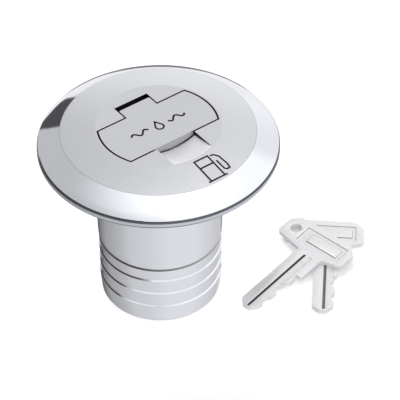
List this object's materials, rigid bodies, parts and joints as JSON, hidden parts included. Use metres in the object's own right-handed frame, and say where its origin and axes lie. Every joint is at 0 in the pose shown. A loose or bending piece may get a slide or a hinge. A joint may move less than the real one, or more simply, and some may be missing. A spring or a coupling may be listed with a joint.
{
  "type": "deck fill cap",
  "caption": "Polished flush deck fuel filler: a beveled round flange on a barbed hose neck, a lockable lift-out cap with a flip-up handle, and its flat keys.",
  "frame": {"origin": "on the neck axis at the flange's underside, where the flange meets the deck", "axes": "+Z out of the deck along the neck axis, +X along the long side of the flip-up handle, +Y towards the handle's hinge"},
  "size_m": [0.1373, 0.1079, 0.0859],
  "materials": {
    "mirror_steel": "mirror-polished stainless steel",
    "cap_steel": "fine satin polished stainless steel",
    "handle_steel": "fine satin polished stainless steel",
    "plain_steel": "plain turned stainless steel",
    "lock_nickel": "nickel plate",
    "wafer_brass": "stamped brass",
    "key_nickel": "bright nickel plate",
    "seal_rubber": "smooth black rubber"
  },
  "bodies": {
    "filler": {"deck_flange": "mirror_steel"},
    "seal": {"cap_o_ring": "seal_rubber"},
    "cap": {"cap_body": "cap_steel", "hinge_pin": "plain_steel", "lock_barrel": "lock_nickel", "barrel_washer": "plain_steel", "barrel_nut": "plain_steel", "guide_plate": "plain_steel", "guide_screw_1": "plain_steel", "guide_screw_2": "plain_steel", "bottom_cover": "plain_steel", "cover_screw_1": "plain_steel", "cover_screw_2": "plain_steel", "cover_screw_3": "plain_steel"},
    "handle": {"flip_handle": "handle_steel"},
    "plug": {"lock_plug": "lock_nickel", "lock_wafer_1": "wafer_brass", "lock_wafer_2": "wafer_brass", "lock_wafer_3": "wafer_brass", "lock_wafer_4": "wafer_brass", "lock_wafer_5": "wafer_brass", "drive_cam": "plain_steel", "cam_washer": "plain_steel", "cam_screw": "plain_steel"},
    "bolt_a": {"lock_bolt_a": "plain_steel", "bolt_pin_a": "plain_steel"},
    "bolt_b": {"lock_bolt_b": "plain_steel", "bolt_pin_b": "plain_steel"},
    "front_key": {"key_1": "key_nickel"},
    "back_key": {"key_2": "key_nickel"}
  },
  "joints": [
    {"name": "cap_lift", "type": "slide", "parent": "filler", "child": "seal", "axis": [0, 0, 1], "range_m": [0, 0.06]},
    {"name": "cap_turn", "type": "hinge", "parent": "seal", "child": "cap", "pos_m": [0, 0, 0], "axis": [0, 0, 1], "continuous": true},
    {"name": "handle_flip", "type": "hinge", "parent": "cap", "child": "handle", "pos_m": [0, 0.0142, 0.009], "axis": [-1, 0, 0], "range_deg": [0, 90]},
    {"name": "lock_turn", "type": "hinge", "parent": "cap", "child": "plug", "pos_m": [0, 0, 0], "axis": [0, 0, 1], "range_deg": [0, 90]},
    {"name": "bolt_a_slide", "type": "slide", "parent": "cap", "child": "bolt_a", "axis": [1, 0, 0], "range_m": [0, 0.0028]},
    {"name": "bolt_b_slide", "type": "slide", "parent": "cap", "child": "bolt_b", "axis": [-1, 0, 0], "range_m": [0, 0.0028]},
    {"name": "front_key_slide", "type": "slide", "parent": "filler", "child": "front_key", "axis": [0.9799, 0.1887, 0.0653], "range_m": [0, 0.04]},
    {"name": "back_key_slide", "type": "slide", "parent": "filler", "child": "back_key", "axis": [0.6652, 0.7466, 0], "range_m": [0, 0.04]}
  ],
  "couplings": [
    {"joint": "bolt_a_slide", "follows": "lock_turn", "m_per_rad": 0.0017825},
    {"joint": "bolt_b_slide", "follows": "lock_turn", "m_per_rad": 0.0017825}
  ]
}
